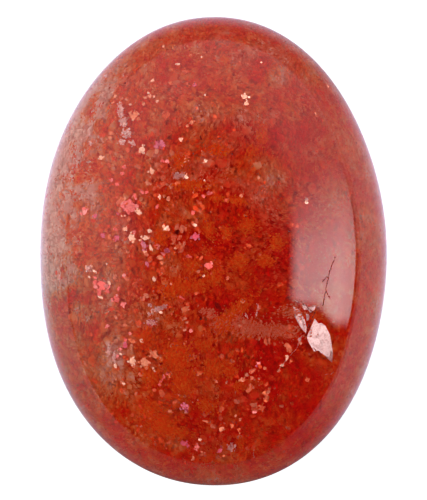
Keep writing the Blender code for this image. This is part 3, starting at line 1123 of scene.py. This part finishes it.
def feathers_mesh(name, entries, depths, size_low, size_high, spread):
    """Thin plates that overlap thickly in the middle of each feather and loosely at its rim."""
    parts = []
    mean_area = math.pi * (0.5 * (size_low + size_high)) ** 2
    for x, y, across, along, turn, thickness in entries:
        count = int(FEATHER_LAYERS * thickness * across * along / mean_area) + 3
        u, v = np.clip(rng.normal(0.0, 0.23, (2, count)), -0.5, 0.5)
        size = rng.uniform(size_low, size_high, count) * PX
        slender = min(across, along) / max(across, along)
        wide = size * rng.uniform(0.7, 1.0, count) * (slender if along > across else 1.0) ** 0.5
        tall = size * rng.uniform(0.7, 1.0, count) * (slender if across > along else 1.0) ** 0.5
        angles = math.radians(turn) + rng.normal(0.0, 0.2, count)
        parts.append((*turned(x, y, u * across, v * along, turn), wide, tall, angles))
    px, py, wide, tall, angles = (np.concatenate(part) for part in zip(*parts))
    depth = random_depths(depths, len(px))
    return flashing_mesh(name, px, py, depth, wide, tall, angles, spread, 0.04, 6)


def heaped_places(entries, crowd, depths):
    """Places in soft heaps at their pixels, so many to a square pixel of a heap's size."""
    heaps = []
    for x, y, across, along, turn, thickness in entries:
        u, v = rng.normal(0.0, 0.27, (2, int(crowd * thickness * across * along)))
        heaps.append(turned(x, y, u * across, v * along, turn))
    px, py = (np.concatenate(part) for part in zip(*heaps))
    return seen_at(px, py, random_depths(depths, len(px)))[0]


build_camera()
build_world()
build_floor()

stone = new_piece("stone", body_mesh(), feldspar_material(), smooth=True)
stone.data.set_sharp_from_angle(angle=math.radians(30.0))
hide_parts("sunstone")

# Slow random changes over the stone: where haze gathers, and which way its grain runs
lumps = swirl(1.3 * MM)
streaks = swirl(0.5 * MM)
grain = swirl(2.4 * MM)

# The large flakes, over which the crystal is kept clear: their places, and how far each one reaches
SINGLE_PX = CREAM_PX + ORANGE_PX + PINK_PX + VIOLET_PX + TAN_PX
LARGE_FLAKES = np.array([flake for flake in SINGLE_PX if flake[2] * flake[3] > LARGE_AREA_PX])
LARGE_PLACES, _ = seen_at(LARGE_FLAKES[:, 0], LARGE_FLAKES[:, 1], LARGE_DEPTH)
LARGE_REACH = 0.42 * (LARGE_FLAKES[:, 2] + LARGE_FLAKES[:, 3]) * PX

# The haze: a dense ground of slivers in the depth, and finer and looser ones above it. Each row has the
# name, how many, the lowest and highest size in millimetres, the stretch, where they lie and their spread
for name, count, low_size, high_size, stretch, weight, spread in (
    ("haze_ground", 24000, 0.12, 0.20, 1.5, in_ground, 0.06),
    ("haze_clouds", 46000, 0.045, 0.08, 2.0, in_clouds, 0.08),
    ("haze_wisps", 46000, 0.020, 0.040, 2.8, in_wisps, 0.12),
):
    mesh = grain_mesh(name, scatter(count, weight), low_size * MM, high_size * MM, stretch, spread)
    new_piece(name, mesh, grain_material(name, 0.37, 0.16, True, 0.6, 0.0))

# Crumbs of the stone's own colours, between the haze and the polish
places = scatter(2000, in_crumbs)
count = len(places)
sizes = (0.05 + 0.14 * rng.uniform(0.0, 1.0, count) ** 1.5) * MM
axes = random_axes(unit(np.array([0.0, 0.0, 1.0]) + rng.normal(0.0, 0.12, (count, 3))))
mesh = plates_mesh("crumbs", places, axes, sizes * rng.uniform(1.0, 1.6, count), sizes, 0.08, 7, 0.30)
new_piece("crumbs", mesh, grain_material("crumbs", 0.36, 0.24, False, 0.5, 0.1))

# Loose copper flakes
places = scatter(1300, glitter)
count = len(places)
sizes = (0.022 + 0.085 * rng.uniform(0.0, 1.0, count) ** 2.2) * MM
downward = np.broadcast_to(np.array([0.0, 0.0, -1.0]), places.shape)
axes = random_axes(flashing_normals(places, downward, 0.035))
mesh = plates_mesh("copper_flakes", places, axes, sizes * rng.uniform(1.0, 1.7, count), sizes, 0.03)
new_piece("copper_flakes", mesh, flake_material("copper", (
    (0.00, (0.98, 0.08, 0.02)),
    (0.45, (0.98, 0.14, 0.04)),
    (0.80, (0.98, 0.20, 0.10)),
    (1.00, (1.00, 0.44, 0.28)),
), 0.20, 0.18))

# Flakes that show singly. Each row has the name, the places, the depths in millimetres, how metallic and
# how rough the flakes are, how far they miss the light, and their colours
for name, entries, depths, metallic, roughness, spread, colours in (
    ("cream", CREAM_PX, (0.06, 0.16), 0.44, 0.16, 0.02,
     ((1.00, 0.46, 0.30), (1.00, 0.58, 0.42), (1.00, 0.70, 0.54))),
    ("orange", ORANGE_PX, (0.08, 0.24), 0.28, 0.19, 0.04,
     ((0.98, 0.20, 0.07), (0.99, 0.32, 0.17), (1.00, 0.46, 0.30))),
    ("pink", PINK_PX, (0.08, 0.22), 0.38, 0.17, 0.03,
     ((0.98, 0.15, 0.13), (0.99, 0.22, 0.21), (1.00, 0.38, 0.36))),
    ("violet", VIOLET_PX, (0.10, 0.26), 0.26, 0.20, 0.04,
     ((0.86, 0.13, 0.20), (0.84, 0.20, 0.32), (0.88, 0.34, 0.44))),
    ("tan", TAN_PX, (0.14, 0.34), 0.18, 0.22, 0.05,
     ((0.94, 0.16, 0.06), (0.95, 0.24, 0.12), (0.96, 0.34, 0.20))),
):
    material = flake_material(name, range_of(*colours), metallic, roughness)
    placed_flakes(name + "_flakes", clusters(entries), depths, material, spread)
material = flake_material("dark", range_of((0.30, 0.006, 0.003), (0.44, 0.012, 0.005)), 0.0, 0.4)
placed_flakes("dark_specks", DARK_PX, (0.10, 0.20), material, 0.1)

# Feathers, whose plates are 0.5 to 1.4 pixels in half size
mesh = feathers_mesh("feathers", FEATHER_PX, (0.09, 0.22), 0.5, 1.4, 0.08)
colours = range_of((1.00, 0.50, 0.44), (1.00, 0.62, 0.57), (1.00, 0.78, 0.75))
new_piece("feathers", mesh, flake_material("feathers", colours, 0.34, 0.35))

# Heaps of bright orange and of milky grains. Each row has the names of the piece and of its material, the
# places, the crowd, the depths in millimetres and the colours
for name, material, entries, crowd, depths, colours in (
    ("mottles", "mottle", MOTTLES_PX, 1.15, (0.08, 0.30),
     ((0.996, 0.090, 0.006), (0.999, 0.160, 0.012), (1.000, 0.270, 0.032))),
    ("milky_grains", "milk", MILKY_PX, 0.65, (0.10, 0.40),
     ((0.99, 0.22, 0.10), (0.99, 0.32, 0.17), (1.00, 0.44, 0.26))),
):
    places = heaped_places(entries, crowd, depths)
    mesh = grain_mesh(name, places, 0.022 * MM, 0.045 * MM, 2.2, 0.10)
    new_piece(name, mesh, flake_material(material, range_of(*colours), 0.0, 0.5, (0.97, 0.82, 0.75)))

# Fine lines, and the healed crack
mesh = line_mesh("pale_threads", PALE_LINES_PX, 0.018 * MM, 0.10 * MM)
colours = range_of((0.98, 0.50, 0.40), (1.00, 0.80, 0.70))
new_piece("pale_threads", mesh, flake_material("thread", colours, 0.2, 0.4))
mesh = line_mesh("dark_threads", DARK_LINES_PX, 0.034 * MM, -0.005 * MM)
colours = range_of((0.24, 0.02, 0.01), (0.40, 0.06, 0.04))
new_piece("dark_threads", mesh, flake_material("dark_thread", colours, 0.0, 0.7))
mesh = sheet_mesh("crack", CRACK_PX, 0.24 * MM, 0.015 * MM, 0.003 * MM)
colours = range_of((1.00, 0.76, 0.77), (1.00, 0.84, 0.86))
new_piece("crack", mesh, flake_material("crack", colours, 0.28, 0.20))

scene = bpy.context.scene
scene.view_settings.view_transform = "Standard"
scene.view_settings.look = "None"
scene.cycles.use_denoising = True
scene.cycles.max_bounces = 24
scene.cycles.transmission_bounces = 20
scene.cycles.diffuse_bounces = 16
scene.cycles.glossy_bounces = 12
scene.cycles.sample_clamp_indirect = 8.0
scene.cycles.blur_glossy = 0.0
